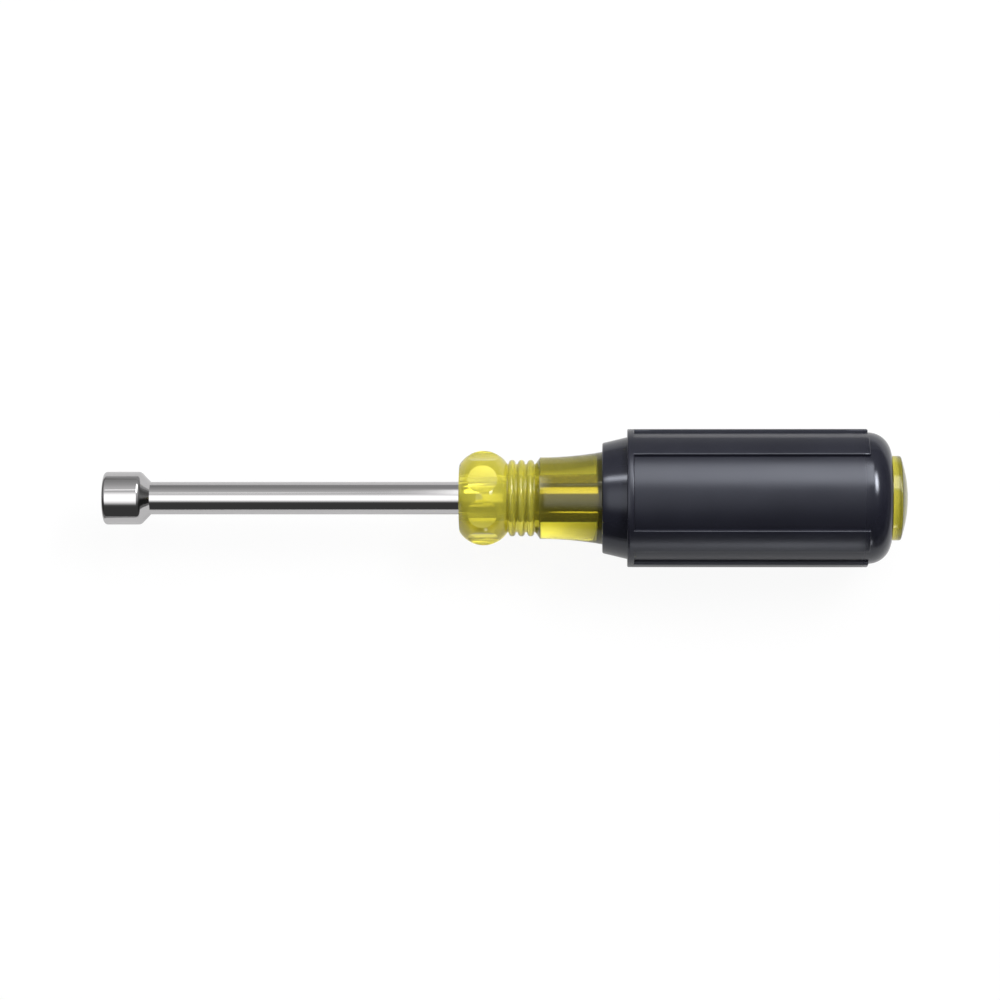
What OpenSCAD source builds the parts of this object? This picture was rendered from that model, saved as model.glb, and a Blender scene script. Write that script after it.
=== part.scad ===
// Nut driver with a hollow shaft, a clear fluted handle core and a soft cushion grip.
// Lengths are in millimetres and angles in degrees.
// The tool lies along X with the socket mouth at -X, and its flange ring rests on z = 0.

/* [Hex socket] */
// Hex opening across its flats, for a 5/16 in hex
hex_across_flats = 8; // [6.5:0.05:10]
// Depth of the hex from the mouth
hex_depth = 7.5; // [5:0.1:12]
// Wall outside the corners of the hex
socket_wall = 1.05; // [0.95:0.05:2]
// Straight outer length behind the hex, ahead of the shoulder
socket_floor = 0.4; // [0.2:0.1:2]
// Rounding of the mouth's outer edge
mouth_round = 0.8; // [0.3:0.05:0.8]
// Reach of the mouth's lead-in beyond the hex corners
mouth_lead = 0.1; // [0.05:0.01:0.15]
// Slope of the lead-in from the tool's axis
mouth_lead_angle = 45; // [30:1:60]
// Slope of the shoulder from the tool's axis
shoulder_angle = 46; // [30:1:60]
// Rounding between the socket's side and its shoulder
shoulder_round = 1.2; // [0.4:0.1:2]

/* [Shaft] */
// Bore through the shank, which clears a long stud
bore_diameter = 5.75; // [4:0.05:6.5]
// Wall of the hollow shank
shank_wall = 0.6; // [0.5:0.025:1.2]
// Slope of the step from the hex down to the bore
bore_step_angle = 59; // [45:1:70]
// Length from the mouth to the handle's front face
exposed_length = 76.2; // [40:0.1:160]
// Share of the handle's length that holds the shaft
anchor_share = 0.88; // [0.5:0.01:0.9]
// Length of the flat tail
tail_length = 12; // [5:0.5:14]
// Length over which the tube is pinched down to the tail
pinch_length = 6; // [4:0.5:9]
// Width of the flat tail
tail_width = 9.6; // [8.5:0.1:12]
// Thickness of the flat tail
tail_thickness = 2.2; // [1.6:0.1:3.5]

/* [Finger knob] */
// Diameter of the knob at its crest
knob_diameter = 20.15; // [17:0.05:24]
// Radius of the knob's profile
knob_profile_radius = 6.05; // [5:0.05:7.5]
// Distance from the handle's front face to the crest
knob_crest = 5.1; // [4:0.1:6]
// Number of flutes round the knob and along the core
flute_count = 8; // [6:1:10]
// Radius of each flute's hollow
flute_radius = 14; // [9:0.5:20]
// Depth of each flute below the crest
flute_depth = 0.9; // [0.4:0.05:1.2]
// Turn of the core about its axis, from the top towards +Y
core_turn = 2.4; // [-20:0.1:20]

/* [Ribs and neck] */
// Number of ribs behind the knob
rib_count = 3; // [1:1:5]
// Distance between rib crests
rib_pitch = 1.98; // [1.6:0.02:3]
// Diameter between the ribs
rib_root_diameter = 14.6; // [13:0.1:16]
// Height of a rib's crest
rib_height = 0.87; // [0.5:0.01:1.2]
// Radius of a rib's crest
rib_round = 0.74; // [0.5:0.01:0.8]
// Diameter of the neck at its front edge
neck_diameter = 17.4; // [15.5:0.1:20]
// Length of the neck's bevelled front edge
neck_bevel = 1; // [0.4:0.1:2]
// Radius of the neck's flare
flare_radius = 76; // [50:1:150]

/* [Core under the grip] */
// Length of the handle, from its front face to the top of the dome
handle_length = 95.25; // [80:0.25:130]
// Diameter of the barrel inside the grip
core_diameter = 20.6; // [18.5:0.1:23]
// Radius of the keyways along the barrel
keyway_radius = 2.2; // [1.5:0.1:3]
// Depth of the keyways
keyway_depth = 0.7; // [0.3:0.05:1]
// Plain barrel left at each end of the keyways
keyway_margin = 3; // [1:0.5:6]
// Diameter of the butt that shows behind the grip
butt_diameter = 18; // [15:0.1:20]
// Length of the butt that stands out of the grip
butt_standout = 3.55; // [2.5:0.05:8]
// Height of the butt's dome
dome_height = 1.6; // [0.8:0.1:2.2]
// Bevel round the butt's edge
butt_bevel = 0.35; // [0.2:0.05:0.6]

/* [Cushion grip] */
// Distance from the handle's front face to the grip
grip_start = 30.4; // [25:0.1:36]
// Diameter of the collar at its front
collar_front_diameter = 23.65; // [22:0.05:25]
// Diameter of the collar where it meets the flange ring
collar_rear_diameter = 26; // [24:0.05:27.5]
// Length of the collar
collar_length = 5.3; // [3:0.1:8]
// Bevel of the collar's front edge
collar_bevel = 0.35; // [0.1:0.05:0.6]
// Diameter of the panel and grooves
grip_diameter = 27.95; // [26:0.05:34]
// Width of the flange ring
flange_width = 1.5; // [0.8:0.1:3]
// Height of the flange ring above the panel
flange_height = 0.725; // [0.5:0.025:1.2]
// Lean of the flange ring's front face
flange_lean = 0.25; // [0.1:0.05:0.6]
// Height of the lands above the panel
land_height = 0.715; // [0.4:0.005:1]
// Number of places round the grip, one for the panel and the rest for lands
land_places = 8; // [6:1:12]
// Width of a land, as an angle
land_angle = 23.25; // [16:0.25:28]
// Plain length between the lands and the rounded rear end
land_setback = 0.1; // [0.1:0.05:2]
// Turn of the grip about its axis, from the top towards +Y
grip_turn = 5.35; // [-20:0.05:20]

/* [Fits] */
// Gap between the shaft and the core
shaft_gap = 0.03; // [0.01:0.01:0.1]
// Gap between the core and the grip
grip_gap = 0.05; // [0.02:0.01:0.15]

/* [Hidden] */
$fn = 128;
hex_sides = 6;
// Length by which cuts run past the faces that they open
overrun = 0.5;

// Shaft
hex_corner_r = hex_across_flats / 2 / cos(180 / hex_sides);
socket_r = hex_corner_r + socket_wall;
lead_r = hex_corner_r + mouth_lead;
bore_r = bore_diameter / 2;
shank_r = bore_r + shank_wall;
tail_r = tail_width / 2;
shoulder_start = hex_depth + socket_floor;
shoulder_end = shoulder_start + (socket_r - shank_r) / tan(shoulder_angle);
shaft_end = exposed_length + anchor_share * handle_length;
tail_start = shaft_end - tail_length;
pinch_start = tail_start - pinch_length;

// Core, measured from the socket mouth
knob_r = knob_diameter / 2;
knob_centre_r = knob_r - knob_profile_radius;
knob_z = exposed_length + knob_crest;
root_r = rib_root_diameter / 2;
root_rise = root_r - knob_centre_r;
knob_end = knob_z + sqrt(knob_profile_radius ^ 2 - root_rise ^ 2);
first_rib = knob_end + rib_pitch / 2;
neck_root = knob_end + rib_count * rib_pitch;
neck_r = neck_diameter / 2;
neck_start = neck_root + neck_bevel;
core_r = core_diameter / 2;
butt_r = butt_diameter / 2;
overall_length = exposed_length + handle_length;
dome_r = (butt_r ^ 2 + dome_height ^ 2) / (2 * dome_height);

// Grip, measured from the socket mouth
grip_r = grip_diameter / 2;
flange_r = grip_r + flange_height;
land_r = grip_r + land_height;
grip_z = exposed_length + grip_start;
flange_z = grip_z + collar_length;
panel_z = flange_z + flange_width;
grip_end = overall_length - butt_standout;
butt_hole_r = butt_r + grip_gap;
rear_round = grip_r - butt_hole_r;
round_z = grip_end - rear_round;
land_end = round_z - land_setback;
land_root_r = (grip_r + core_r) / 2;
barrel_end = round_z - (core_r - butt_r);
keyway_start = panel_z + keyway_margin;
keyway_end = barrel_end - keyway_margin;

// Lays the tool down along X, with its axis at the height of the flange ring's radius
module lay_down() {
    translate([-overall_length / 2, 0, flange_r])
        rotate([0, 90, 0])
            children();
}

// Turns a child that points along local X to an angle from the top towards +Y
module at_angle(angle) {
    rotate([0, 0, 180 - angle])
        children();
}

// Half outline of a rod of radius r between two heights on the axis
module rod_outline(r, from, to) {
    translate([0, from])
        square([r, to - from]);
}

// Half outline of the socket: side, rounded mouth edge and shoulder
module socket_outline() {
    tangent = shoulder_round * tan(shoulder_angle / 2);
    edge_z = shoulder_start - tangent;
    cone_r = socket_r - shoulder_round * (1 - cos(shoulder_angle));
    cone_z = edge_z + shoulder_round * sin(shoulder_angle);
    polygon([
        [0, 0],
        [socket_r - mouth_round, 0],
        [socket_r, mouth_round],
        [socket_r, edge_z],
        [cone_r, cone_z],
        [shank_r, shoulder_end],
        [0, shoulder_end]
    ]);
    translate([socket_r - mouth_round, mouth_round])
        circle(mouth_round);
    translate([socket_r - shoulder_round, edge_z])
        circle(shoulder_round);
}

// Half outline of the tube from a height on: shank, pinched part and tail
module tube_outline(gap, from) {
    polygon([
        [0, from],
        [shank_r + gap, from],
        [shank_r + gap, pinch_start],
        [tail_r + gap, tail_start],
        [tail_r + gap, shaft_end + gap],
        [0, shaft_end + gap]
    ]);
}

// Space between the flats of the pinched part and the tail, clear of the tube ahead of them
module between_flats(gap) {
    half = tail_thickness / 2 + gap;
    start_half = tail_r + gap;
    clear_half = max(socket_r, tail_r) + overrun;
    translate([0, clear_half, 0])
        rotate([90, 0, 0])
            linear_extrude(2 * clear_half)
                polygon([
                    [-clear_half, -overrun],
                    [clear_half, -overrun],
                    [clear_half, pinch_start],
                    [start_half, pinch_start],
                    [half, tail_start],
                    [half, shaft_end + gap + overrun],
                    [-half, shaft_end + gap + overrun],
                    [-half, tail_start],
                    [-start_half, pinch_start],
                    [-clear_half, pinch_start]
                ]);
}

module hex_recess() {
    lead_depth = lead_r / tan(mouth_lead_angle);
    step_depth = hex_corner_r / tan(bore_step_angle);
    translate([0, 0, -overrun])
        cylinder(r = hex_corner_r, h = overrun + hex_depth, $fn = hex_sides);
    rotate_extrude()
        polygon([[0, 0], [lead_r, 0], [0, lead_depth]]);
    intersection() {
        translate([0, 0, hex_depth - overrun])
            cylinder(r = hex_corner_r, h = overrun + step_depth, $fn = hex_sides);
        rotate_extrude()
            polygon([
                [0, hex_depth - overrun],
                [hex_corner_r, hex_depth - overrun],
                [hex_corner_r, hex_depth],
                [0, hex_depth + step_depth]
            ]);
    }
}

module hollow_shaft() {
    color("silver")
        lay_down()
            difference() {
                intersection() {
                    rotate_extrude()
                        union() {
                            socket_outline();
                            tube_outline(0, hex_depth);
                        }
                    between_flats(0);
                }
                hex_recess();
                translate([0, 0, hex_depth])
                    cylinder(r = bore_r, h = pinch_start - hex_depth);
            }
}

// Half outline of the knob, from the handle's flat front face
module knob_outline() {
    intersection() {
        translate([knob_centre_r, knob_z])
            circle(knob_profile_radius);
        rod_outline(knob_r + overrun, exposed_length, knob_z + knob_profile_radius);
    }
}

module rib_outline() {
    translate([root_r + rib_height - rib_round, 0])
        circle(rib_round);
}

// Half outline of the neck and barrel, grown by a gap for the grip that fits round it
module barrel_outline(gap) {
    shoulder = core_r - butt_r;
    difference() {
        polygon([
            [0, neck_root],
            [root_r, neck_root],
            [neck_r, neck_start],
            [core_r + gap, neck_start],
            [core_r + gap, barrel_end],
            [butt_r + gap, barrel_end + shoulder],
            [0, barrel_end + shoulder]
        ]);
        translate([neck_r + flare_radius, neck_start])
            circle(flare_radius - gap);
    }
}

// Half outline of the butt: side, bevelled edge and shallow dome
module butt_outline() {
    edge_z = overall_length - dome_height;
    intersection() {
        polygon([
            [0, barrel_end],
            [butt_r, barrel_end],
            [butt_r, edge_z - butt_bevel],
            [butt_r - butt_bevel, edge_z + butt_bevel],
            [butt_r - butt_bevel, overall_length],
            [0, overall_length]
        ]);
        translate([0, overall_length - dome_r])
            circle(dome_r);
    }
}

module knob_flutes() {
    for (i = [0 : flute_count - 1])
        at_angle(core_turn + (i + 0.5) * 360 / flute_count)
            translate([knob_r - flute_depth + flute_radius, 0, exposed_length - overrun])
                cylinder(r = flute_radius, h = knob_end - exposed_length + overrun);
}

// Keyways along the barrel, or the slimmer keys of the grip that fill them
module keyways(gap) {
    for (i = [0 : flute_count - 1])
        at_angle(core_turn + (i + 0.5) * 360 / flute_count)
            translate([core_r - keyway_depth + keyway_radius, 0, keyway_start + gap])
                cylinder(r = keyway_radius - gap, h = keyway_end - keyway_start - 2 * gap);
}

module handle_core() {
    color("gold", 0.6)
        lay_down()
            difference() {
                rotate_extrude()
                    union() {
                        knob_outline();
                        rod_outline(root_r, exposed_length, neck_root);
                        for (i = [0 : rib_count - 1])
                            translate([0, first_rib + i * rib_pitch])
                                rib_outline();
                        barrel_outline(0);
                        butt_outline();
                    }
                knob_flutes();
                keyways(0);
                intersection() {
                    rotate_extrude()
                        tube_outline(shaft_gap, exposed_length - overrun);
                    between_flats(shaft_gap);
                }
            }
}

// Half outline of the grip's outside: collar, flange ring, body and rounded rear end
module grip_outline() {
    collar_slope = (collar_rear_diameter - collar_front_diameter) / 2 / collar_length;
    collar_front_r = collar_front_diameter / 2;
    polygon([
        [0, grip_z],
        [collar_front_r - collar_bevel, grip_z],
        [collar_front_r + collar_bevel * collar_slope, grip_z + collar_bevel],
        [collar_rear_diameter / 2, flange_z],
        [flange_r, flange_z + flange_lean],
        [flange_r, panel_z],
        [grip_r, panel_z],
        [grip_r, round_z],
        [butt_hole_r, grip_end],
        [0, grip_end]
    ]);
    translate([butt_hole_r, round_z])
        circle(rear_round);
}

module land() {
    rotate([0, 0, -land_angle / 2])
        rotate_extrude(angle = land_angle)
            translate([land_root_r, flange_z + flange_lean])
                square([land_r - land_root_r, land_end - flange_z - flange_lean]);
}

// Lands at every place but the first, which is left as the panel
module lands() {
    for (i = [1 : land_places - 1])
        at_angle(grip_turn + i * 360 / land_places)
            land();
}

// Hollow of the grip: the core's own form with the fit gap, keyed by the ribs left in it
module grip_cavity() {
    difference() {
        rotate_extrude()
            union() {
                barrel_outline(grip_gap);
                rod_outline(butt_hole_r, barrel_end, overall_length);
            }
        keyways(grip_gap);
    }
}

module cushion_grip() {
    color([0.13, 0.13, 0.15])
        lay_down()
            difference() {
                union() {
                    rotate_extrude()
                        grip_outline();
                    lands();
                }
                grip_cavity();
            }
}

hollow_shaft();
handle_core();
cushion_grip();
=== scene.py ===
"""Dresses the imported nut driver: a chrome hollow shaft, a clear yellow handle core and a black cushion grip.

The tool lies along X, with the socket mouth at -X and its flange ring on the floor. Lengths are in metres.
"""

import math

import bmesh
import bpy
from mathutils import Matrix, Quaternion, Vector


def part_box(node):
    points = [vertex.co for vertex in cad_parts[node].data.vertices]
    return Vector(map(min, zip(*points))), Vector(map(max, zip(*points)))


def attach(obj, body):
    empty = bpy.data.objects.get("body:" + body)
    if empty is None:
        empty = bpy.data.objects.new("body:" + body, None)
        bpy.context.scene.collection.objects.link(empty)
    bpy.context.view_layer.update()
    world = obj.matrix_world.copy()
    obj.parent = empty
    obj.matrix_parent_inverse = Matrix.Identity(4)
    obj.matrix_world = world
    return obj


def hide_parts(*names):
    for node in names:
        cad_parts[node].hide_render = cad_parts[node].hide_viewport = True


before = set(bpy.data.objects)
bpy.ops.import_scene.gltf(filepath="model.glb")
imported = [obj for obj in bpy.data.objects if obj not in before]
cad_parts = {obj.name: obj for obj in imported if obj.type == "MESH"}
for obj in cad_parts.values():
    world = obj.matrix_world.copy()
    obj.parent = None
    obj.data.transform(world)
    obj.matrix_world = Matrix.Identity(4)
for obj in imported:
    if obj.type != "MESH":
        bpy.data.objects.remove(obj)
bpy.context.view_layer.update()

bl_info = {
    "name": "Nut driver",
    "version": (1, 0, 0),
    "blender": (4, 5, 0),
    "location": "View3D > Sidebar > Nut driver",
    "description": "Models the shaft, handle core and cushion grip of a nut driver and lights them",
    "category": "Object",
}

MM = 0.001
SHAFT_LOW, SHAFT_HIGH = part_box("hollow_shaft")
CORE_LOW, CORE_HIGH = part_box("handle_core")
GRIP_LOW, GRIP_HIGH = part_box("cushion_grip")
MOUTH_X = SHAFT_LOW.x
TAIL_X = SHAFT_HIGH.x
FACE_X = CORE_LOW.x
BUTT_X = CORE_HIGH.x
COLLAR_X = GRIP_LOW.x
GRIP_END_X = GRIP_HIGH.x
AXIS_Z = (GRIP_LOW.z + GRIP_HIGH.z) / 2
SOCKET_R = (SHAFT_HIGH.y - SHAFT_LOW.y) / 2
BARREL_R = (CORE_HIGH.y - CORE_LOW.y) / 2
FLANGE_R = (GRIP_HIGH.y - GRIP_LOW.y) / 2

# How far a cutter stands out of the piece that it cuts
OVERRUN = MM
# Points closer than this are merged
WELD = 0.001 * MM
# A point or face this far off still counts as being at a place
NEAR = 0.05 * MM
# Steps round the axis of the bore and the lead-in, and round a flute's rod
BORE_STEPS = 128
FLUTE_STEPS = 720
# Shares of the quarter turn at which the butt's rounded rim gets its points
RIM_STEPS = (0.3, 0.6, 0.85, 1.0)
# Numbers of a Mix node's colour sockets, because its sockets for numbers and vectors have the same names
MIX_FIRST, MIX_SECOND, MIX_RESULT = 6, 7, 2
WHITE = (1.0, 1.0, 1.0, 1.0)
FLOOR_PAINT = (0.97, 0.97, 0.97, 1.0)
FLOOR_SIZE = 4.0
# How much darker than white the floor is to mirror rays, what distance and the tool's ends add to that, and
# how much darker it is to rays through the side of the neck: a painted shadow of the tool on the -Y side
MIRROR_DIM, FAR_DIM, END_DIM, PAINTED_SHADOW_DIM = 0.33, 0.3, 0.2, 0.85
# Shares of that plain tone, against the floor's own shading, in what the same rays and all rays through the
# core see; the third share is that of the painted shadow
MIRROR_PLAIN, FAR_PLAIN, PAINTED_SHADOW_PLAIN, GLASS_PLAIN = 0.75, 0.25, 0.75, 0.06
# Greys of the room, by the angle in degrees from straight up towards +Y
ROOM_GREYS = (
    (-180, 0.6), (-90, 0.6), (-87, 0.06), (-40, 0.06), (-24, 0.12), (-8, 0.35),
    (20, 0.62), (45, 0.7), (62, 0.48), (80, 0.35), (100, 0.31), (180, 0.6),
)
# How much darker the room is past the tool's ends, and the share of white in what rays through the core see
ROOM_END_DIM, ROOM_GLASS_WHITE = 0.7, 0.1
SENSOR_WIDTH = 36.0
VIEW_REACH = 10.0


def length(name, description, millimetres):
    """A length, with its default given in millimetres."""
    return bpy.props.FloatProperty(
        name=name, description=description, default=millimetres * MM, min=0.0, precision=5, unit="LENGTH"
    )


def place(name, description, millimetres):
    """A place along an axis, with its default given in millimetres."""
    return bpy.props.FloatProperty(
        name=name, description=description, default=millimetres * MM, precision=5, unit="LENGTH"
    )


def angle(name, description, degrees):
    """An angle, with its default given in degrees."""
    return bpy.props.FloatProperty(
        name=name, description=description, default=math.radians(degrees), subtype="ANGLE"
    )


def count(name, description, number):
    """A number of like things."""
    return bpy.props.IntProperty(name=name, description=description, default=number, min=1)


def share(name, description, value):
    """A share between 0 and 1."""
    return bpy.props.FloatProperty(
        name=name, description=description, default=value, min=0.0, max=1.0, subtype="FACTOR"
    )


def colour(name, description, rgb):
    """A colour, with its default in linear light."""
    return bpy.props.FloatVectorProperty(
        name=name, description=description, default=rgb, size=3, min=0.0, max=1.0, subtype="COLOR"
    )


class ShaftSizes(bpy.types.PropertyGroup):
    """Sizes of the hex socket and the hollow shank."""

    hex_corner_r: length("Hex corner radius", "Radius of the hex opening at its corners", 4.619)
    hex_depth: length("Hex depth", "Depth of the hex from the mouth", 7.5)
    step_depth: length("Step depth", "Length of the step from the hex down to the bore", 1.048)
    lead_r: length("Lead-in radius", "Radius of the lead-in cone at the mouth", 4.72)
    mouth_round: length("Mouth rounding", "Rounding of the mouth's outer edge", 0.8)
    shoulder_start: length("Shoulder start", "Distance of the shoulder from the mouth", 7.9)
    shoulder_round: length("Shoulder rounding", "Rounding between socket and shoulder", 1.2)
    shoulder_slope: angle("Shoulder slope", "Slope of the shoulder from the tool's axis", 46)
    shank_r: length("Shank radius", "Outer radius of the shank", 3.475)
    bore_r: length("Bore radius", "Radius of the bore through the shank", 2.875)
    tail_length: length("Tail length", "Length of the flat tail in the handle", 12)
    pinch_length: length("Pinch length", "Length over which the tube is pinched flat", 6)
    tail_width: length("Tail width", "Width of the flat tail", 9.6)
    tail_thickness: length("Tail thickness", "Thickness of the flat tail", 2.2)
    turns: count("Steps round", "Steps of the turned surfaces round the axis", 192)


class CoreSizes(bpy.types.PropertyGroup):
    """Sizes of the clear handle core."""

    knob_r: length("Knob radius", "Radius of the finger knob at its crest", 10.075)
    knob_profile_r: length("Knob profile radius", "Radius of the knob's profile", 6.05)
    knob_crest: length("Knob crest", "Distance of the crest from the handle's face", 5.1)
    flute_count: count("Flutes", "Number of flutes round the knob", 8)
    flute_r: length("Flute radius", "Radius of each flute's hollow", 14)
    flute_depth: length("Flute depth", "Depth of each flute below the crest", 0.9)
    turn: angle("Turn", "Turn of the core about its axis, from the top towards +Y", 2.4)
    root_r: length("Root radius", "Radius between the ribs", 7.3)
    rib_count: count("Ribs", "Number of ribs behind the knob", 3)
    rib_pitch: length("Rib pitch", "Distance between rib crests", 1.98)
    rib_height: length("Rib height", "Height of a rib's crest", 0.87)
    rib_round: length("Rib rounding", "Radius of a rib's crest", 0.74)
    neck_r: length("Neck radius", "Radius of the neck at its front edge", 8.7)
    neck_bevel: length("Neck bevel", "Length of the neck's bevelled front edge", 1)
    flare_r: length("Flare radius", "Radius of the neck's flare", 76)
    butt_r: length("Butt radius", "Radius of the butt behind the grip", 9)
    shoulder_x: length("Rear shoulder", "Distance from the barrel's end to the top of the dome", 9.775)
    dome_height: length("Dome height", "Height of the butt's dome", 1.6)
    edge_round: length("Edge rounding", "Rounding of the butt's rim", 0.35)
    seat: length("Seat", "How far the core's bore lies inside the shaft's skin", 0.01)
    turns: count("Steps round", "Steps of the turned surfaces round the axis", 256)


class GripSizes(bpy.types.PropertyGroup):
    """Sizes of the cushion grip."""

    body_r: length("Body radius", "Radius of the panel and grooves", 13.975)
    collar_front_r: length("Collar front radius", "Radius of the collar at its front", 11.825)
    collar_rear_r: length("Collar rear radius", "Radius of the collar at the flange ring", 13)
    collar_length: length("Collar length", "Length of the collar", 5.3)
    collar_round: length("Collar rounding", "Rounding of the collar's front edge", 0.4)
    flange_width: length("Flange width", "Width of the flange ring", 1.5)
    rear_round: length("Rear rounding", "Radius of the rounded rear end", 4.925)
    land_setback: length("Land setback", "Plain length between lands and rounded end", 0.1)
    land_places: count("Places", "Places round the grip, one for the panel and the rest for lands", 8)
    land_angle: angle("Land angle", "Width of a land", 23.25)
    turn: angle("Turn", "Turn of the grip about its axis, from the top towards +Y", 5.35)
    edge_round: length("Edge rounding", "Rounding of the raised edges", 0.3)
    fit: length("Fit", "Gap between the grip and the core", 0.05)


class Finishes(bpy.types.PropertyGroup):
    """Colours and surface finishes."""

    chrome: colour("Chrome", "Colour of the plating", (0.575, 0.565, 0.57))
    chrome_rough: share("Chrome roughness", "Roughness of the polished plating", 0.07)
    # Painted shade: a dark brownish colour that the plating fades to inside the handle, so the shaft looks
    # darker through the core
    buried_steel_shade: colour("Buried steel", "Colour of the shaft inside the handle", (0.135, 0.118, 0.06))
    acetate: colour("Acetate tint", "Tint that the core's surface gives", (0.97, 0.9, 0.11))
    acetate_depth: colour("Acetate depth", "Colour that the core's depth leaves", (0.965, 0.9, 0.3))
    acetate_haze: share("Acetate haze", "Share of light that the knob, ribs and butt scatter", 0.27)
    neck_haze: share("Neck haze", "Share of light that the rest of the core scatters", 0.05)
    vinyl: colour("Vinyl", "Colour of the cushion grip", (0.0105, 0.0108, 0.017))
    vinyl_sheen: colour("Vinyl sheen", "Colour of the vinyl's highlights", (0.85, 0.89, 1.0))
    vinyl_rough: share("Vinyl roughness", "Roughness of the satin vinyl", 0.3)
    end_rough: share("End roughness", "Roughness of the grip's smoother collar and rear end", 0.16)


class Studio(bpy.types.PropertyGroup):
    """Camera and floor."""

    distance: length("Camera height", "Height of the camera above the tool's axis", 747)
    lens: bpy.props.FloatProperty(
        name="Lens", description="Focal length in millimetres", default=126.08, min=1.0, unit="CAMERA"
    )
    foot_x: place("Camera place", "Place of the camera along X", 24.6)
    aim_x: place("Aim along the tool", "Place of the picture's middle along X", -0.95)
    aim_y: place("Aim across the tool", "Place of the picture's middle along Y", -0.4)
    shadow: share("Shadow", "How much of the floor's own shading the picture shows", 0.07)


class Outline:
    """Half outline of a turned piece, drawn point by point in edit mode, then spun about the tool's axis."""

    def __init__(self, name, x, r):
        bpy.ops.object.select_all(action="DESELECT")
        bpy.ops.mesh.primitive_circle_add(vertices=3, radius=MM, enter_editmode=True)
        self.piece = bpy.context.object
        self.piece.name = name
        self.piece.data.name = name
        bpy.ops.mesh.select_mode(type="VERT")
        bpy.ops.mesh.merge(type="CENTER")
        bpy.ops.transform.translate(value=(x, 0.0, AXIS_Z + r))
        self.x, self.r = x, r

    def line(self, x, r, cuts=1):
        """Draws a straight line to length x and radius r."""
        step = ((x - self.x) / cuts, 0.0, (r - self.r) / cuts)
        for _ in range(cuts):
            bpy.ops.mesh.extrude_region_move(TRANSFORM_OT_translate={"value": step})
        self.x, self.r = x, r

    def arc(self, centre_x, centre_r, degrees, steps):
        """Draws an arc about a centre; positive turns from +X towards the outside."""
        turn = math.radians(degrees)
        bpy.ops.mesh.spin(
            steps=steps, angle=turn, center=(centre_x, 0.0, AXIS_Z + centre_r), axis=(0.0, 1.0, 0.0)
        )
        dx, dr = self.x - centre_x, self.r - centre_r
        self.x = centre_x + dx * math.cos(turn) - dr * math.sin(turn)
        self.r = centre_r + dx * math.sin(turn) + dr * math.cos(turn)

    def close(self):
        """Joins the last point to the first."""
        bpy.ops.mesh.select_all(action="SELECT")
        bpy.ops.mesh.remove_doubles(threshold=WELD)

    def lathe(self, steps):
        """Spins the whole outline once round the axis and closes the seam and poles."""
        bpy.ops.mesh.select_all(action="SELECT")
        spin_sector(math.tau, steps)
        tidy_mesh()
        bpy.ops.object.mode_set(mode="OBJECT")
        return self.piece


def spin_sector(turn, steps):
    """In edit mode, spins what is selected about the tool's axis."""
    bpy.ops.mesh.spin(steps=steps, angle=turn, center=(0.0, 0.0, AXIS_Z), axis=(1.0, 0.0, 0.0))


def tidy_mesh():
    """In edit mode, merges doubles and turns all faces outwards."""
    bpy.ops.mesh.select_all(action="SELECT")
    bpy.ops.mesh.remove_doubles(threshold=WELD)
    bpy.ops.mesh.normals_make_consistent(inside=False)


def activate(piece):
    """Selects one piece alone and makes it the active one."""
    bpy.ops.object.select_all(action="DESELECT")
    piece.select_set(True)
    bpy.context.view_layer.objects.active = piece


def select_beyond(piece, x):
    """In edit mode, selects the points that lie at a place along X or beyond it."""
    bpy.ops.mesh.select_mode(type="VERT")
    bpy.ops.mesh.select_all(action="DESELECT")
    mesh = bmesh.from_edit_mesh(piece.data)
    for point in mesh.verts:
        point.select = point.co.x > x - NEAR
    mesh.select_flush(True)
    bmesh.update_edit_mesh(piece.data)


def extrude_along(distance):
    """In edit mode, extrudes what is selected along X."""
    bpy.ops.mesh.extrude_region_move(TRANSFORM_OT_translate={"value": (distance, 0.0, 0.0)})


def scale_across(wide, high):
    """In edit mode, scales what is selected in Y and Z about the tool's axis."""
    bpy.ops.transform.resize(value=(1.0, wide, high), center_override=(0.0, 0.0, AXIS_Z))


def turn_about_axis(turn):
    """In edit mode, turns what is selected about the tool's axis."""
    bpy.ops.transform.rotate(value=turn, orient_axis="X", center_override=(0.0, 0.0, AXIS_Z))


def cut(piece, cutter):
    """Takes the cutter's volume out of a piece and removes the cutter."""
    activate(piece)
    hollow = piece.modifiers.new("Hollow", "BOOLEAN")
    hollow.operation = "DIFFERENCE"
    hollow.solver = "EXACT"
    hollow.object = cutter
    bpy.ops.object.modifier_apply(modifier=hollow.name)
    bpy.data.objects.remove(cutter)


def rod(name, x0, x1, r, sides, y=0.0, z=AXIS_Z):
    """A round or many-sided rod along X, left in edit mode with everything selected."""
    bpy.ops.object.select_all(action="DESELECT")
    bpy.ops.mesh.primitive_cylinder_add(vertices=sides, radius=r, depth=x1 - x0, enter_editmode=True)
    piece = bpy.context.object
    piece.name = name
    bpy.ops.transform.rotate(value=math.pi / 2, orient_axis="Y", center_override=(0.0, 0.0, 0.0))
    bpy.ops.transform.translate(value=((x0 + x1) / 2, y, z))
    return piece


def round_shading(piece, degrees):
    """Shades a piece smooth, apart from edges that are sharper than an angle."""
    activate(piece)
    bpy.ops.object.shade_smooth_by_angle(angle=math.radians(degrees))


def finish_piece(piece, node, material):
    """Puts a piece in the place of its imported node, with its material."""
    piece.data.materials.clear()
    piece.data.materials.append(material)
    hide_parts(node)
    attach(piece, "root")


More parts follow.
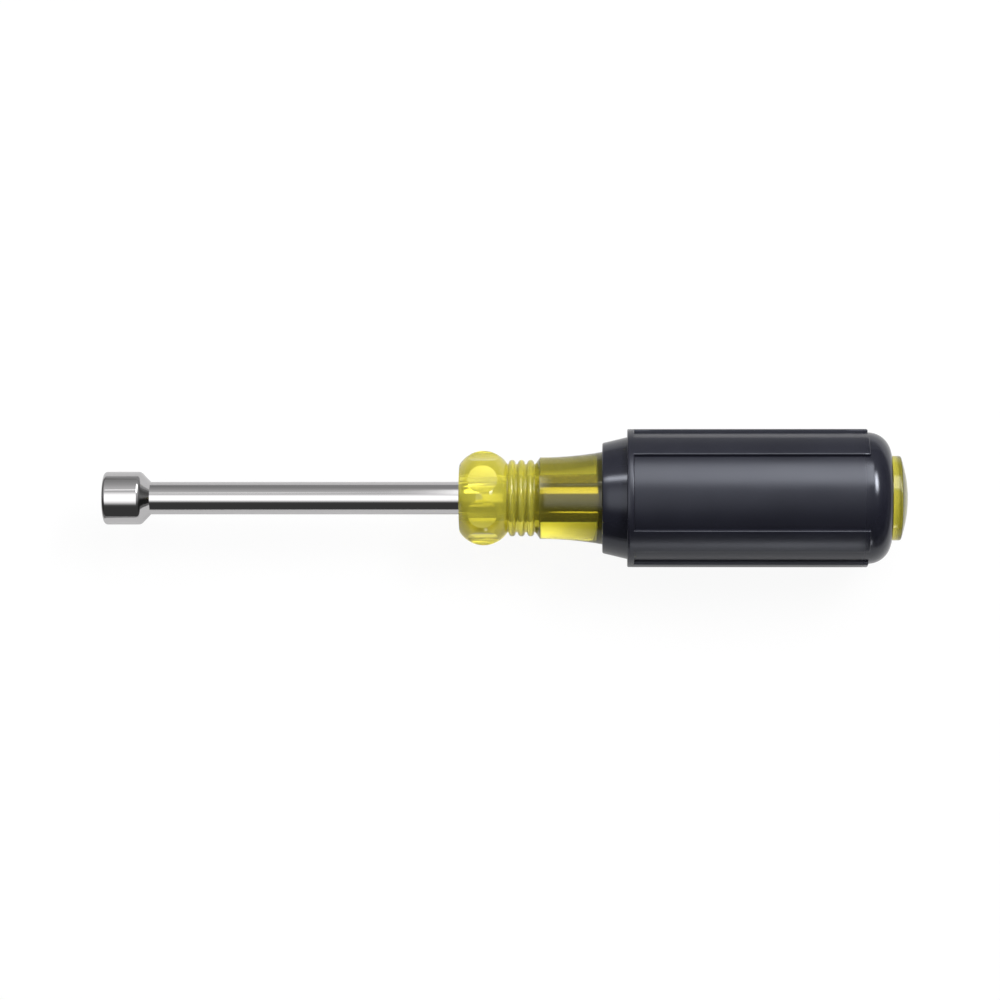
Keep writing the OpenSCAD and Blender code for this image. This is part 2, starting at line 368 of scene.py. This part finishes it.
class Value:
    """A socket in a node tree. Arithmetic on it adds Math nodes."""

    def __init__(self, tree, socket):
        self.tree, self.socket = tree, socket

    def maths(self, operation, first, second):
        return self.tree.node("ShaderNodeMath", {"operation": operation}, {0: first, 1: second})

    def __add__(self, other):
        return self.maths("ADD", self, other)

    def __radd__(self, other):
        return self.maths("ADD", other, self)

    def __sub__(self, other):
        return self.maths("SUBTRACT", self, other)

    def __rsub__(self, other):
        return self.maths("SUBTRACT", other, self)

    def __mul__(self, other):
        return self.maths("MULTIPLY", self, other)

    def __rmul__(self, other):
        return self.maths("MULTIPLY", other, self)


class NodeTree:
    """The node tree of a material, lamp or world, written from an empty start."""

    def __init__(self, owner):
        owner.use_nodes = True
        self.tree = owner.node_tree
        self.tree.nodes.clear()

    def node(self, kind, settings, sockets, out=0):
        """Adds a node: its settings first, then its sockets' values or links. Returns one of its outputs.

        A ramp's stops are pairs of a position and a grey. The tree's own output node has no outputs, so it
        is added with out=None.
        """
        made = self.tree.nodes.new(kind)
        for key, value in settings.items():
            if key == "stops":
                ramp = made.color_ramp
                while len(ramp.elements) < len(value):
                    ramp.elements.new(1.0)
                for stop, (position, grey) in zip(ramp.elements, value):
                    stop.position = position
                    stop.color = (grey, grey, grey, 1.0)
            else:
                setattr(made, key, value)
        for key, value in sockets.items():
            if isinstance(value, Value):
                self.tree.links.new(value.socket, made.inputs[key])
            else:
                made.inputs[key].default_value = value
        return None if out is None else Value(self, made.outputs[out])

    def noise(self, vector, scale, detail):
        """A noise between 0 and 1."""
        return self.node("ShaderNodeTexNoise", {}, {"Vector": vector, "Scale": scale, "Detail": detail})

    def bump(self, height, strength, distance):
        """A normal that follows a height."""
        return self.node(
            "ShaderNodeBump", {}, {"Strength": strength, "Distance": distance, "Height": height}
        )

    def mix(self, factor, first, second):
        """Blends two colours."""
        return self.node(
            "ShaderNodeMix", {"data_type": "RGBA"},
            {"Factor": factor, MIX_FIRST: (*first, 1.0), MIX_SECOND: (*second, 1.0)}, MIX_RESULT,
        )

    def part(self, vector, axis):
        """One axis of a vector."""
        return self.node("ShaderNodeSeparateXYZ", {}, {"Vector": vector}, axis)

    def rise(self, value, start, end):
        """Rises smoothly from 0 to 1 while a value goes from start to end."""
        return self.node(
            "ShaderNodeMapRange", {"interpolation_type": "SMOOTHSTEP"},
            {"Value": value, "From Min": start, "From Max": end},
        )

    def fade(self, vector, axis, start, end):
        """Rises smoothly from 0 to 1 between two places along one axis of a vector."""
        return self.rise(self.part(vector, axis), start, end)


def new_material(name):
    """A new material, its empty node tree and the piece's own coordinates."""
    material = bpy.data.materials.new(name)
    tree = NodeTree(material)
    return material, tree, tree.node("ShaderNodeTexCoord", {}, {}, "Object")


def scaled(rgb, factor):
    """A darker or lighter shade of a colour."""
    return tuple(factor * channel for channel in rgb)


def chrome_plate(finishes):
    """Polished chrome with faint turning rings and a slight haze, fading inside the handle to a dark brownish
    colour that is painted shade.
    """
    material, tree, where = new_material("chrome_plate")
    squeezed = tree.node("ShaderNodeMapping", {}, {"Vector": where, "Scale": (9000.0, 30.0, 30.0)})
    rings = tree.noise(squeezed, scale=1.0, detail=3.0)
    haze = tree.noise(where, scale=160.0, detail=4.0)
    # Painted shade: inside the handle the plating's colour fades to dark brownish steel, darkening the shaft
    # that the core shows
    buried = tree.fade(where, "X", FACE_X + MM, FACE_X + 14 * MM)
    shader = tree.node(
        "ShaderNodeBsdfPrincipled", {},
        {
            "Base Color": tree.mix(buried, finishes.chrome, finishes.buried_steel_shade),
            "Metallic": 1.0,
            "Roughness": (0.6 + rings * 0.5 + haze * 0.3) * finishes.chrome_rough,
            "Normal": tree.bump(rings, strength=0.02, distance=0.02 * MM),
        },
    )
    tree.node("ShaderNodeOutputMaterial", {}, {"Surface": shader}, None)
    return material


def clear_acetate(finishes):
    """Clear yellow plastic with a slightly uneven moulded skin, hazier in the knob, ribs and butt, with
    painted shade round the butt's rim.
    """
    material, tree, where = new_material("clear_acetate")
    swell = tree.noise(where, scale=130.0, detail=2.0)
    scuff = tree.noise(where, scale=900.0, detail=4.0)
    knob = tree.fade(where, "X", FACE_X + 18 * MM, FACE_X + 15 * MM)
    butt = tree.fade(where, "X", GRIP_END_X - MM, GRIP_END_X)
    rim = tree.fade(where, "X", GRIP_END_X + 0.8 * MM, GRIP_END_X + 1.4 * MM)
    dome = tree.fade(where, "X", BUTT_X - 1.3 * MM, BUTT_X - 0.8 * MM)
    # Painted shade: the surface tint is deepest along the butt's rim, and less deep on its side and its dome,
    # standing in for the dark bands of the rounded rim
    rim_shade = butt * 0.45 + rim * 0.55 - dome * 0.65
    skin = {
        "Base Color": tree.mix(rim_shade, finishes.acetate, scaled(finishes.acetate, 0.3)),
        "Roughness": 0.015 + scuff * 0.03,
        "IOR": 1.48,
        "Specular IOR Level": 0.3,
        "Normal": tree.bump(swell, strength=0.05, distance=0.2 * MM),
    }
    clear = tree.node("ShaderNodeBsdfPrincipled", {}, {**skin, "Transmission Weight": 1.0})
    hazy = tree.node("ShaderNodeBsdfPrincipled", {}, skin)
    haze = finishes.neck_haze + (knob + butt) * (finishes.acetate_haze - finishes.neck_haze)
    surface = tree.node("ShaderNodeMixShader", {}, {0: haze, 1: clear, 2: hazy})
    depth = tree.node(
        "ShaderNodeVolumeAbsorption", {}, {"Color": (*finishes.acetate_depth, 1.0), "Density": 35.0}
    )
    tree.node("ShaderNodeOutputMaterial", {}, {"Surface": surface, "Volume": depth}, None)
    return material


def satin_vinyl(finishes):
    """Soft black vinyl with a fine moulded grain and a slight blue cast, smoother at its two ends."""
    material, tree, where = new_material("satin_vinyl")
    grain = tree.noise(where, scale=2600.0, detail=3.0)
    cloud = tree.noise(where, scale=90.0, detail=3.0)
    rear = tree.fade(where, "X", GRIP_END_X - 7 * MM, GRIP_END_X - 4 * MM)
    collar = tree.fade(where, "X", COLLAR_X + 6 * MM, COLLAR_X + 5 * MM)
    smoother = (rear + collar) * (finishes.vinyl_rough - finishes.end_rough)
    shader = tree.node(
        "ShaderNodeBsdfPrincipled", {},
        {
            "Base Color": tree.mix(cloud, scaled(finishes.vinyl, 0.8), scaled(finishes.vinyl, 1.25)),
            "Roughness": finishes.vinyl_rough - 0.05 + cloud * 0.1 - smoother,
            "IOR": 1.5,
            "Specular Tint": (*finishes.vinyl_sheen, 1.0),
            "Normal": tree.bump(grain, strength=0.12, distance=0.03 * MM),
        },
    )
    tree.node("ShaderNodeOutputMaterial", {}, {"Surface": shader}, None)
    return material


class OBJECT_OT_hollow_shaft(bpy.types.Operator):
    """Turn the socket and shank, pinch the tail, and cut the hex and the bore"""

    bl_idname = "object.nut_driver_shaft"
    bl_label = "Hollow shaft"

    def execute(self, context):
        sizes = context.scene.nut_driver_shaft
        shaft = shaft_blank(sizes, "hollow_shaft_piece")
        bore = rod("bore_cutter", MOUTH_X + sizes.hex_depth, pinch_start(sizes), sizes.bore_r, BORE_STEPS)
        bpy.ops.object.mode_set(mode="OBJECT")
        cut(shaft, bore)
        cut(shaft, hex_cutter(sizes))
        cut(shaft, lead_cutter(sizes))
        round_shading(shaft, degrees=24)
        finish_piece(shaft, "hollow_shaft", chrome_plate(context.scene.nut_driver_finish))
        return {"FINISHED"}


def pinch_start(sizes):
    """Place along X where the tube starts to be pinched flat."""
    return TAIL_X - sizes.tail_length - sizes.pinch_length


def shaft_blank(sizes, name, shrink=0.0):
    """The shaft's outer form as a solid. The shank and tail are made smaller by shrink."""
    shank_r = sizes.shank_r - shrink
    slope = sizes.shoulder_slope
    edge_x = MOUTH_X + sizes.shoulder_start - sizes.shoulder_round * math.tan(slope / 2)
    shoulder_end = MOUTH_X + sizes.shoulder_start + (SOCKET_R - sizes.shank_r) / math.tan(slope)
    pinch_x = pinch_start(sizes)
    line = Outline(name, MOUTH_X, 0.0)
    line.line(MOUTH_X, SOCKET_R - sizes.mouth_round)
    line.arc(MOUTH_X + sizes.mouth_round, SOCKET_R - sizes.mouth_round, -90, steps=16)
    line.line(edge_x, SOCKET_R, cuts=3)
    line.arc(edge_x, SOCKET_R - sizes.shoulder_round, -math.degrees(slope), steps=12)
    line.line(shoulder_end, shank_r, cuts=3)
    line.line(pinch_x, shank_r, cuts=40)
    piece = line.lathe(sizes.turns)
    activate(piece)
    bpy.ops.object.mode_set(mode="EDIT")
    select_beyond(piece, pinch_x)
    extrude_along(sizes.pinch_length)
    scale_across((sizes.tail_width / 2 - shrink) / shank_r, (sizes.tail_thickness / 2 - shrink) / shank_r)
    extrude_along(sizes.tail_length - shrink)
    bpy.ops.mesh.edge_face_add()
    tidy_mesh()
    bpy.ops.object.mode_set(mode="OBJECT")
    return piece


def hex_cutter(sizes):
    """A hex rod with a drilled end, corners at the top and bottom."""
    end_x = MOUTH_X + sizes.hex_depth
    cutter = rod("hex_cutter", MOUTH_X - OVERRUN, end_x, sizes.hex_corner_r, sides=6)
    turn_about_axis(math.pi / 6)
    select_beyond(cutter, end_x)
    extrude_along(sizes.step_depth)
    narrow = sizes.bore_r / sizes.hex_corner_r
    scale_across(narrow, narrow)
    tidy_mesh()
    bpy.ops.object.mode_set(mode="OBJECT")
    return cutter


def lead_cutter(sizes):
    """A cone that opens the mouth to the lead-in radius."""
    line = Outline("lead_cutter", MOUTH_X - OVERRUN, 0.0)
    line.line(MOUTH_X - OVERRUN, sizes.lead_r + OVERRUN)
    line.line(MOUTH_X + sizes.lead_r, 0.0)
    return line.lathe(BORE_STEPS)


class OBJECT_OT_handle_core(bpy.types.Operator):
    """Turn the knob, ribs, neck, barrel and dome, and cut the flutes and the shaft's seat"""

    bl_idname = "object.nut_driver_core"
    bl_label = "Handle core"

    def execute(self, context):
        sizes = context.scene.nut_driver_core
        core = core_blank(sizes)
        for flute in range(sizes.flute_count):
            cut(core, flute_cutter(sizes, flute))
        cut(core, shaft_blank(context.scene.nut_driver_shaft, "seat_cutter", sizes.seat))
        round_shading(core, degrees=24)
        finish_piece(core, "handle_core", clear_acetate(context.scene.nut_driver_finish))
        return {"FINISHED"}


def knob_end(core):
    """Place along X where the knob's profile comes down to the root of the ribs."""
    drop = core.root_r - core.knob_r + core.knob_profile_r
    return FACE_X + core.knob_crest + math.sqrt(core.knob_profile_r**2 - drop**2)


def neck_edge(core):
    """Place along X of the neck's front edge, behind the knob, the ribs and the bevel."""
    return knob_end(core) + core.rib_count * core.rib_pitch + core.neck_bevel


def core_blank(sizes):
    """The core's turned form as a solid."""
    line = Outline("handle_core_piece", FACE_X, 0.0)
    draw_knob(line, sizes)
    draw_ribs(line, sizes)
    neck_x = neck_edge(sizes)
    flare_centre_r = sizes.neck_r + sizes.flare_r
    flare = math.degrees(math.acos((flare_centre_r - BARREL_R) / sizes.flare_r))
    barrel_end = BUTT_X - sizes.shoulder_x
    line.line(neck_x, sizes.neck_r, cuts=2)
    line.arc(neck_x, flare_centre_r, flare, steps=40)
    line.line(barrel_end, BARREL_R, cuts=12)
    line.line(barrel_end + BARREL_R - sizes.butt_r, sizes.butt_r, cuts=2)
    draw_butt(line, sizes)
    return line.lathe(sizes.turns)


def draw_knob(line, sizes):
    """Draws the handle's face and the knob's round profile."""
    profile = sizes.knob_profile_r
    centre_r = sizes.knob_r - profile
    rise = math.sqrt(profile**2 - sizes.knob_crest**2)
    start = math.degrees(math.atan2(rise, -sizes.knob_crest))
    end = math.degrees(math.asin((sizes.root_r - centre_r) / profile))
    line.line(FACE_X, centre_r + rise, cuts=4)
    line.arc(FACE_X + sizes.knob_crest, centre_r, end - start, steps=72)


def draw_ribs(line, sizes):
    """Draws the round ribs and the roots between them."""
    centre_r = sizes.root_r + sizes.rib_height - sizes.rib_round
    half = math.sqrt(sizes.rib_round**2 - (sizes.root_r - centre_r) ** 2)
    dip = math.degrees(math.asin((centre_r - sizes.root_r) / sizes.rib_round))
    for rib in range(sizes.rib_count):
        rib_x = knob_end(sizes) + (rib + 0.5) * sizes.rib_pitch
        line.line(rib_x - half, sizes.root_r)
        line.arc(rib_x, centre_r, -(180 + 2 * dip), steps=24)
    line.line(knob_end(sizes) + sizes.rib_count * sizes.rib_pitch, sizes.root_r)


def draw_butt(line, sizes):
    """Draws the butt's side, its rounded rim and its dome."""
    dome_r = (sizes.butt_r**2 + sizes.dome_height**2) / (2 * sizes.dome_height)
    round_x = BUTT_X - sizes.dome_height - sizes.edge_round
    rim_r = sizes.butt_r - sizes.edge_round
    rim_x = BUTT_X - dome_r + math.sqrt(dome_r**2 - rim_r**2)
    line.line(round_x, sizes.butt_r, cuts=4)
    for step in RIM_STEPS:
        swing = step * math.pi / 2
        line.line(
            round_x + math.sin(swing) * (rim_x - round_x), rim_r + math.cos(swing) * sizes.edge_round
        )
    line.arc(BUTT_X - dome_r, 0.0, -math.degrees(math.asin(rim_r / dome_r)), steps=30)


def flute_cutter(sizes, flute):
    """One of the rods that hollow the knob's flutes."""
    turn = sizes.turn + (flute + 0.5) * math.tau / sizes.flute_count
    out = sizes.knob_r - sizes.flute_depth + sizes.flute_r
    cutter = rod(
        "flute_cutter", FACE_X - OVERRUN, FACE_X + 2 * sizes.knob_crest, sizes.flute_r, FLUTE_STEPS,
        out * math.sin(turn), AXIS_Z + out * math.cos(turn),
    )
    bpy.ops.object.mode_set(mode="OBJECT")
    return cutter


class OBJECT_OT_cushion_grip(bpy.types.Operator):
    """Turn the sleeve sector by sector, raise its flange ring and lands, and round their edges"""

    bl_idname = "object.nut_driver_grip"
    bl_label = "Cushion grip"

    def execute(self, context):
        sizes = context.scene.nut_driver_grip
        grip = grip_sleeve(sizes, context.scene.nut_driver_core)
        raise_lands(grip, sizes)
        round_shading(grip, degrees=30)
        finish_piece(grip, "cushion_grip", satin_vinyl(context.scene.nut_driver_finish))
        return {"FINISHED"}


def grip_sleeve(sizes, core):
    """The sleeve without its raised parts, with sectors that match the lands and the panel."""
    line = Outline("cushion_grip_piece", COLLAR_X, sleeve_mouth_r(sizes, core))
    draw_sleeve_outside(line, sizes)
    draw_sleeve_inside(line, sizes, core)
    line.close()
    gap = math.tau / sizes.land_places - sizes.land_angle
    panel = math.tau - (sizes.land_places - 1) * sizes.land_angle - (sizes.land_places - 2) * gap
    for land in range(1, sizes.land_places):
        spin_sector(sizes.land_angle, steps=24)
        if land < sizes.land_places - 1:
            spin_sector(gap, steps=22)
    spin_sector(panel, steps=66)
    tidy_mesh()
    turn_about_axis(sizes.turn + math.tau / sizes.land_places - sizes.land_angle / 2)
    bpy.ops.object.mode_set(mode="OBJECT")
    return line.piece


def sleeve_mouth_r(sizes, core):
    """Radius of the sleeve's inside at the collar's front, where it follows the neck's flare."""
    flare_r = core.flare_r - sizes.fit
    return core.neck_r + core.flare_r - math.sqrt(flare_r**2 - (COLLAR_X - neck_edge(core)) ** 2)


def draw_sleeve_outside(line, sizes):
    """Draws the collar, the flange ring's front, the body and the rounded rear end."""
    flange_x = COLLAR_X + sizes.collar_length
    round_x = GRIP_END_X - sizes.rear_round
    soft = sizes.collar_round
    lean = math.degrees(math.atan2(sizes.collar_rear_r - sizes.collar_front_r, sizes.collar_length))
    line.line(COLLAR_X, sizes.collar_front_r - soft)
    line.arc(COLLAR_X + soft, sizes.collar_front_r - soft, -(90 - lean), steps=6)
    line.line(flange_x, sizes.collar_rear_r, cuts=4)
    line.line(flange_x, sizes.body_r)
    line.line(flange_x + sizes.flange_width, sizes.body_r, cuts=2)
    line.line(round_x - sizes.land_setback, sizes.body_r, cuts=20)
    line.line(round_x, sizes.body_r)
    line.arc(round_x, sizes.body_r - sizes.rear_round, -90, steps=20)


def draw_sleeve_inside(line, sizes, core):
    """Draws the hole for the butt and the hollow for the barrel and the neck's flare."""
    neck_x = neck_edge(core)
    flare_centre_r = core.neck_r + core.flare_r
    flare_r = core.flare_r - sizes.fit
    hole_r = sizes.body_r - sizes.rear_round
    barrel_r = BARREL_R + sizes.fit
    barrel_x = neck_x + math.sqrt(flare_r**2 - (flare_centre_r - barrel_r) ** 2)
    barrel_end = BUTT_X - core.shoulder_x
    swing = math.asin((barrel_x - neck_x) / flare_r) - math.asin((COLLAR_X - neck_x) / flare_r)
    line.line(barrel_end + barrel_r - hole_r, hole_r, cuts=2)
    line.line(barrel_end, barrel_r)
    line.line(barrel_x, barrel_r, cuts=6)
    line.arc(neck_x, flare_centre_r, -math.degrees(swing), steps=4)


def raise_lands(grip, sizes):
    """Raises the flange ring and the lands to the flange ring's radius and rounds their upper edges."""
    flange_x = COLLAR_X + sizes.collar_length
    panel_x = flange_x + sizes.flange_width
    land_end = GRIP_END_X - sizes.rear_round - sizes.land_setback
    step = math.tau / sizes.land_places
    activate(grip)
    bpy.ops.object.mode_set(mode="EDIT")
    bpy.ops.mesh.select_mode(type="FACE")
    bpy.ops.mesh.select_all(action="DESELECT")
    mesh = bmesh.from_edit_mesh(grip.data)
    raised = 0
    for face in mesh.faces:
        middle = face.calc_center_median()
        r = math.hypot(middle.y, middle.z - AXIS_Z)
        if r < sizes.body_r - NEAR or not flange_x + NEAR < middle.x < land_end:
            continue
        sector = (math.atan2(middle.y, middle.z - AXIS_Z) - sizes.turn) / step
        on_panel = round(sector) % sizes.land_places == 0
        on_land = abs(sector - round(sector)) * step < sizes.land_angle / 2 and not on_panel
        face.select = middle.x < panel_x or on_land
        raised += face.select
    bmesh.update_edit_mesh(grip.data)
    if not raised:
        raise RuntimeError("the grip's lands weren't found")
    extrude_along(0.0)
    grow = FLANGE_R / sizes.body_r
    scale_across(grow, grow)
    bpy.ops.mesh.region_to_loop()
    bpy.ops.mesh.bevel(offset=sizes.edge_round, segments=3, affect="EDGES", clamp_overlap=True)
    tidy_mesh()
    bpy.ops.object.mode_set(mode="OBJECT")


class SCENE_OT_studio(bpy.types.Operator):
    """Make the floor, the world, the lights and the camera"""

    bl_idname = "scene.nut_driver_studio"
    bl_label = "Studio"

    def execute(self, context):
        studio = context.scene.nut_driver_studio
        make_floor(studio)
        make_world(context.scene)
        make_lamps()
        make_camera(context.scene, studio)
        context.scene.view_settings.view_transform = "Standard"
        return {"FINISHED"}


def make_floor(studio):
    """A floor that the camera sees as white, with a trace of the tool's shadow near the middle.

    To mirror rays it is paler beside the tool than on the far side and beyond the tool's ends. To rays
    through the neck it is dark on the -Y side, a painted shadow of the tool. So steel and clear plastic show
    light and dark bands.
    """
    bpy.ops.object.select_all(action="DESELECT")
    bpy.ops.mesh.primitive_plane_add(size=FLOOR_SIZE)
    floor = bpy.context.object
    floor.name = "floor"
    material, tree, where = new_material("white_floor")
    camera, mirror, glass = (
        tree.node("ShaderNodeLightPath", {}, {}, kind)
        for kind in ("Is Camera Ray", "Is Glossy Ray", "Is Transmission Ray")
    )
    plain = mirror * (1.0 - glass)
    beyond = tree.fade(where, "X", -100 * MM, -130 * MM) + tree.fade(where, "X", 110 * MM, 140 * MM)
    behind = tree.fade(where, "Y", 40 * MM, 60 * MM)
    far = tree.node("ShaderNodeMath", {"operation": "MAXIMUM"}, {0: behind, 1: beyond})
    # Painted shadow: rays through the core see the floor darkened on the -Y side beside the tool's front part
    side = glass * tree.fade(where, "Y", MM, -2 * MM) * tree.fade(where, "X", 60 * MM, 50 * MM)
    distance = tree.node("ShaderNodeVectorMath", {"operation": "LENGTH"}, {0: where}, "Value")
    shaded = tree.rise(distance, 500 * MM, 150 * MM) * studio.shadow
    # The side terms here and below carry the painted shadow on the floor's -Y side
    dim = plain * (MIRROR_DIM + far * FAR_DIM + beyond * END_DIM) + side * PAINTED_SHADOW_DIM
    tone = tree.node("ShaderNodeValToRGB", {"stops": [(0.0, 1.0), (1.0, 0.0)]}, {0: dim})
    matt = tree.node("ShaderNodeBsdfDiffuse", {}, {"Color": FLOOR_PAINT})
    glow = tree.node("ShaderNodeEmission", {}, {"Color": tone, "Strength": 1.0})
    seen = camera * (1.0 - shaded) + plain * (MIRROR_PLAIN + far * FAR_PLAIN)
    seen = seen + glass * GLASS_PLAIN + side * PAINTED_SHADOW_PLAIN
    surface = tree.node("ShaderNodeMixShader", {}, {0: seen, 1: matt, 2: glow})
    tree.node("ShaderNodeOutputMaterial", {}, {"Surface": surface}, None)
    floor.data.materials.append(material)


def make_world(scene):
    """A soft room: dark towards -Y, paler overhead and towards +Y, and white where the camera sees it."""
    world = bpy.data.worlds.new("studio")
    scene.world = world
    tree = NodeTree(world)
    way = tree.node("ShaderNodeTexCoord", {}, {}, "Generated")
    lean = tree.node(
        "ShaderNodeMath", {"operation": "ARCTAN2"}, {0: tree.part(way, "Y"), 1: tree.part(way, "Z")}
    )
    stops = [((degrees + 180) / 360, grey) for degrees, grey in ROOM_GREYS]
    room = tree.node("ShaderNodeValToRGB", {"stops": stops}, {0: lean * (1 / math.tau) + 0.5})
    ends = tree.fade(way, "X", 0.5, 0.85) + tree.fade(way, "X", -0.5, -0.85)
    camera, glass = (
        tree.node("ShaderNodeLightPath", {}, {}, kind) for kind in ("Is Camera Ray", "Is Transmission Ray")
    )
    seen = camera + glass * ROOM_GLASS_WHITE
    lit = tree.node("ShaderNodeBackground", {}, {"Color": room, "Strength": 1.0 - ends * ROOM_END_DIM})
    white = tree.node("ShaderNodeBackground", {}, {"Color": WHITE, "Strength": 1.0})
    surface = tree.node("ShaderNodeMixShader", {}, {0: seen, 1: lit, 2: white})
    tree.node("ShaderNodeOutputWorld", {}, {"Surface": surface}, None)


def make_lamps():
    """Six soft lamps. The last three leave the shaft out, so that its plating mirrors only the others."""
    card(
        "overhead", at=(-0.285, -0.02, 1.0), aim=(-0.285, -0.02), size=(0.51, 1.25),
        radiance=1.5, soft=(0.04, 0.4),
    )
    card(
        "socket_line", at=(-0.21, 0.565, 0.78), aim=(-0.08, 0.0), size=(0.3, 0.14),
        radiance=0.9, soft=(0.3, 0.5),
    )
    card(
        "handle_key", at=(0.16, 0.743, 0.785), aim=(0.16, 0.0), size=(0.5, 0.95),
        radiance=5.6, soft=(0.25, 0.25),
    )
    collar = card(
        "collar_lamp", at=(-0.41, 0.62, 0.72), aim=(0.02, 0.0), size=(0.26, 0.22),
        radiance=13.0, soft=(0.4, 0.4),
    )
    rear = card(
        "rear_lamp", at=(0.53, 0.45, 0.80), aim=(GRIP_END_X, 0.0), size=(0.4, 0.8),
        radiance=28.0, soft=(0.45, 0.45), roll=52,
    )
    low = card(
        "low_strip", at=(0.12, -0.9, 0.11), aim=(0.12, 0.0), size=(0.24, 0.2),
        radiance=6.0, soft=(0.25, 0.4),
    )
    collar.visible_transmission = False
    rear.visible_transmission = False
    lit = bpy.data.collections.new("all_but_the_shaft")
    for name in ("handle_core_piece", "cushion_grip_piece", "floor"):
        lit.objects.link(bpy.data.objects[name])
    for lamp in (collar, rear, low):
        lamp.light_linking.receiver_collection = lit


def card(name, at, aim, size, radiance, soft, roll=0):
    """A rectangular lamp turned to an aim point, with edges that fade over shares of its sides.

    The roll turns it about its own beam, in degrees.
    """
    bpy.ops.object.light_add(type="AREA", location=at)
    lamp = bpy.context.object
    lamp.name = name
    lamp.data.shape = "RECTANGLE"
    lamp.data.size, lamp.data.size_y = size
    lamp.data.energy = radiance * math.pi * size[0] * size[1]
    away = lamp.location - Vector((*aim, AXIS_Z))
    turn = away.to_track_quat("Z", "Y") @ Quaternion((0.0, 0.0, 1.0), math.radians(roll))
    lamp.rotation_euler = turn.to_euler()
    lamp.visible_camera = False
    tree = NodeTree(lamp.data)
    spot = tree.node("ShaderNodeNewGeometry", {}, {}, "Parametric")
    edges = []
    for axis, reach in zip("XY", soft):
        across = tree.part(spot, axis)
        inside = tree.node("ShaderNodeMath", {"operation": "MINIMUM"}, {0: across, 1: 1.0 - across})
        edges.append(tree.rise(inside, 0.0, reach))
    glow = tree.node("ShaderNodeEmission", {}, {"Strength": edges[0] * edges[1]})
    tree.node("ShaderNodeOutputLight", {}, {"Surface": glow}, None)
    return lamp


def make_camera(scene, studio):
    """The picture's camera, which looks down on the tool from over the handle."""
    lean = math.atan((studio.foot_x - studio.aim_x) / studio.distance)
    bpy.ops.object.camera_add(
        location=(studio.foot_x, studio.aim_y, AXIS_Z + studio.distance), rotation=(0.0, lean, 0.0)
    )
    camera = bpy.context.object
    camera.name = "camera"
    camera.data.sensor_width = SENSOR_WIDTH
    camera.data.lens = studio.lens
    camera.data.clip_end = VIEW_REACH
    scene.camera = camera


class VIEW3D_PT_nut_driver(bpy.types.Panel):
    """Sizes, finishes and builders of the nut driver"""

    bl_label = "Nut driver"
    bl_idname = "VIEW3D_PT_nut_driver"
    bl_space_type = "VIEW_3D"
    bl_region_type = "UI"
    bl_category = "Nut driver"

    def draw(self, context):
        for step in BUILD_STEPS:
            self.layout.operator(step.bl_idname)
        for key, group in SETTINGS.items():
            box = self.layout.box()
            box.label(text=group.__name__)
            settings = getattr(context.scene, key)
            for name in group.__annotations__:
                box.prop(settings, name)


SETTINGS = {
    "nut_driver_shaft": ShaftSizes,
    "nut_driver_core": CoreSizes,
    "nut_driver_grip": GripSizes,
    "nut_driver_finish": Finishes,
    "nut_driver_studio": Studio,
}
BUILD_STEPS = (OBJECT_OT_hollow_shaft, OBJECT_OT_handle_core, OBJECT_OT_cushion_grip, SCENE_OT_studio)
CLASSES = (*SETTINGS.values(), *BUILD_STEPS, VIEW3D_PT_nut_driver)


def register():
    for part in CLASSES:
        bpy.utils.register_class(part)
    for key, group in SETTINGS.items():
        setattr(bpy.types.Scene, key, bpy.props.PointerProperty(type=group))


def unregister():
    for key in SETTINGS:
        delattr(bpy.types.Scene, key)
    for part in reversed(CLASSES):
        bpy.utils.unregister_class(part)


def main():
    register()
    bpy.ops.object.nut_driver_shaft()
    bpy.ops.object.nut_driver_core()
    bpy.ops.object.nut_driver_grip()
    bpy.ops.scene.nut_driver_studio()


if __name__ == "__main__":
    main()
